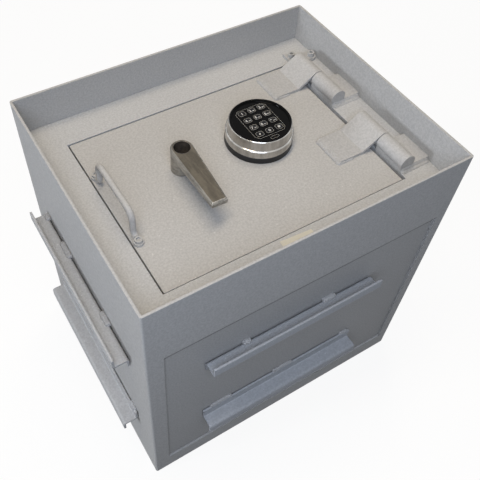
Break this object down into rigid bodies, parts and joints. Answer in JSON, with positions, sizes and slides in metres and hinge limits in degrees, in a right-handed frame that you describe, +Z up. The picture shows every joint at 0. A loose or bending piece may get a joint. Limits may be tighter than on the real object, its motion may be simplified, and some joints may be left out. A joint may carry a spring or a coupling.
{
  "type": "floor safe",
  "caption": "Under-floor safe with a hinged door in a shallow tray, round keypad, lever, grab handle, sliding bolts and cast-in anchor bars.",
  "frame": {"origin": "middle of the box's base, between the outer faces of its anchor bars", "axes": "+Z up towards the rim, +X towards the hinge side, +Y towards the back, across the door"},
  "size_m": [0.497, 0.4006, 0.463],
  "materials": {
    "body_paint": "pale grey powder coat, fine orange peel",
    "panel_paint": "pale grey powder coat",
    "anchor_paint": "pale grey powder coat",
    "plated_steel": "zinc plated",
    "bright_steel": "ground and bright",
    "chrome_ring": "polished chrome",
    "black_plastic": "satin black",
    "gloss_face": "gloss black",
    "key_plastic": "satin black",
    "lever_pewter": "dull cast pewter",
    "lock_case": "die cast",
    "brass": "machined",
    "circuit_board": "green circuit board",
    "battery_case": "plain dark case",
    "cable_sleeve": "black sleeve",
    "pale_print": "pale print on the keys and the face",
    "label_paper": "blank paper label"
  },
  "bodies": {
    "safe_body": {"outer_shell": "body_paint", "front_panel": "panel_paint", "back_panel": "panel_paint", "bottom_plate": "panel_paint", "tray_floor": "body_paint", "door_ledge": "panel_paint", "front_upper_anchor": "anchor_paint", "front_lower_anchor": "anchor_paint", "back_upper_anchor": "anchor_paint", "back_lower_anchor": "anchor_paint", "left_upper_anchor": "anchor_paint", "left_lower_anchor": "anchor_paint", "right_upper_anchor": "anchor_paint", "right_lower_anchor": "anchor_paint", "anchor_welds": "anchor_paint", "front_hinge_barrel": "body_paint", "rear_hinge_barrel": "body_paint", "front_hinge_pin": "plated_steel", "rear_hinge_pin": "plated_steel", "hinge_keeper": "body_paint", "keeper_screws": "plated_steel"},
    "door": {"door_plate": "body_paint", "front_hinge_strap": "body_paint", "rear_hinge_strap": "body_paint", "grab_handle": "body_paint", "handle_screws": "plated_steel", "keypad_base": "black_plastic", "keypad_ring": "chrome_ring", "keypad_face": "gloss_face", "keypad_board": "circuit_board", "keypad_battery": "battery_case", "lock_body": "lock_case", "lock_screws": "plated_steel", "lock_cable": "cable_sleeve", "boltwork_frame": "plated_steel", "boltwork_cover": "plated_steel", "cover_screws": "plated_steel", "dead_bar": "plated_steel", "carriage_guides": "plated_steel", "lever_bush": "brass"},
    "lever": {"lever_handle": "lever_pewter", "lever_spindle": "plated_steel", "lever_screw": "plated_steel", "crank": "plated_steel"},
    "boltwork": {"bolt_carriage": "plated_steel", "locking_bolts": "bright_steel"},
    "lock_slide": {"lock_bolt": "brass"},
    "key_1_cap": {"key_1": "key_plastic"},
    "key_2_cap": {"key_2": "key_plastic"},
    "key_3_cap": {"key_3": "key_plastic"},
    "key_4_cap": {"key_4": "key_plastic"},
    "key_5_cap": {"key_5": "key_plastic"},
    "key_6_cap": {"key_6": "key_plastic"},
    "key_7_cap": {"key_7": "key_plastic"},
    "key_8_cap": {"key_8": "key_plastic"},
    "key_9_cap": {"key_9": "key_plastic"},
    "key_star_cap": {"key_star": "key_plastic"},
    "key_0_cap": {"key_0": "key_plastic"},
    "key_hash_cap": {"key_hash": "key_plastic"}
  },
  "joints": [
    {"name": "door_swing", "type": "hinge", "parent": "safe_body", "child": "door", "pos_m": [0.184, 0, 0.4202], "axis": [0, 1, 0], "range_deg": [0, 100]},
    {"name": "lever_turn", "type": "hinge", "parent": "door", "child": "lever", "pos_m": [-0.06701, 0.019, 0.43], "axis": [0, 0, -1], "range_deg": [0, 60]},
    {"name": "bolt_slide", "type": "slide", "parent": "door", "child": "boltwork", "axis": [-1, 0, 0], "range_m": [0, 0.02]},
    {"name": "lock_bolt_slide", "type": "slide", "parent": "door", "child": "lock_slide", "axis": [0, -1, 0], "range_m": [0, 0.008]},
    {"name": "key_1_press", "type": "slide", "parent": "door", "child": "key_1_cap", "axis": [0, 0, -1], "range_m": [0, 0.0008], "stiffness_N_per_m": 500, "springref_m": -0.0006},
    {"name": "key_2_press", "type": "slide", "parent": "door", "child": "key_2_cap", "axis": [0, 0, -1], "range_m": [0, 0.0008], "stiffness_N_per_m": 500, "springref_m": -0.0006},
    {"name": "key_3_press", "type": "slide", "parent": "door", "child": "key_3_cap", "axis": [0, 0, -1], "range_m": [0, 0.0008], "stiffness_N_per_m": 500, "springref_m": -0.0006},
    {"name": "key_4_press", "type": "slide", "parent": "door", "child": "key_4_cap", "axis": [0, 0, -1], "range_m": [0, 0.0008], "stiffness_N_per_m": 500, "springref_m": -0.0006},
    {"name": "key_5_press", "type": "slide", "parent": "door", "child": "key_5_cap", "axis": [0, 0, -1], "range_m": [0, 0.0008], "stiffness_N_per_m": 500, "springref_m": -0.0006},
    {"name": "key_6_press", "type": "slide", "parent": "door", "child": "key_6_cap", "axis": [0, 0, -1], "range_m": [0, 0.0008], "stiffness_N_per_m": 500, "springref_m": -0.0006},
    {"name": "key_7_press", "type": "slide", "parent": "door", "child": "key_7_cap", "axis": [0, 0, -1], "range_m": [0, 0.0008], "stiffness_N_per_m": 500, "springref_m": -0.0006},
    {"name": "key_8_press", "type": "slide", "parent": "door", "child": "key_8_cap", "axis": [0, 0, -1], "range_m": [0, 0.0008], "stiffness_N_per_m": 500, "springref_m": -0.0006},
    {"name": "key_9_press", "type": "slide", "parent": "door", "child": "key_9_cap", "axis": [0, 0, -1], "range_m": [0, 0.0008], "stiffness_N_per_m": 500, "springref_m": -0.0006},
    {"name": "key_star_press", "type": "slide", "parent": "door", "child": "key_star_cap", "axis": [0, 0, -1], "range_m": [0, 0.0008], "stiffness_N_per_m": 500, "springref_m": -0.0006},
    {"name": "key_0_press", "type": "slide", "parent": "door", "child": "key_0_cap", "axis": [0, 0, -1], "range_m": [0, 0.0008], "stiffness_N_per_m": 500, "springref_m": -0.0006},
    {"name": "key_hash_press", "type": "slide", "parent": "door", "child": "key_hash_cap", "axis": [0, 0, -1], "range_m": [0, 0.0008], "stiffness_N_per_m": 500, "springref_m": -0.0006}
  ],
  "couplings": [
    {"joint": "lever_turn", "follows": "bolt_slide", "rad_per_m": 52.36}
  ]
}
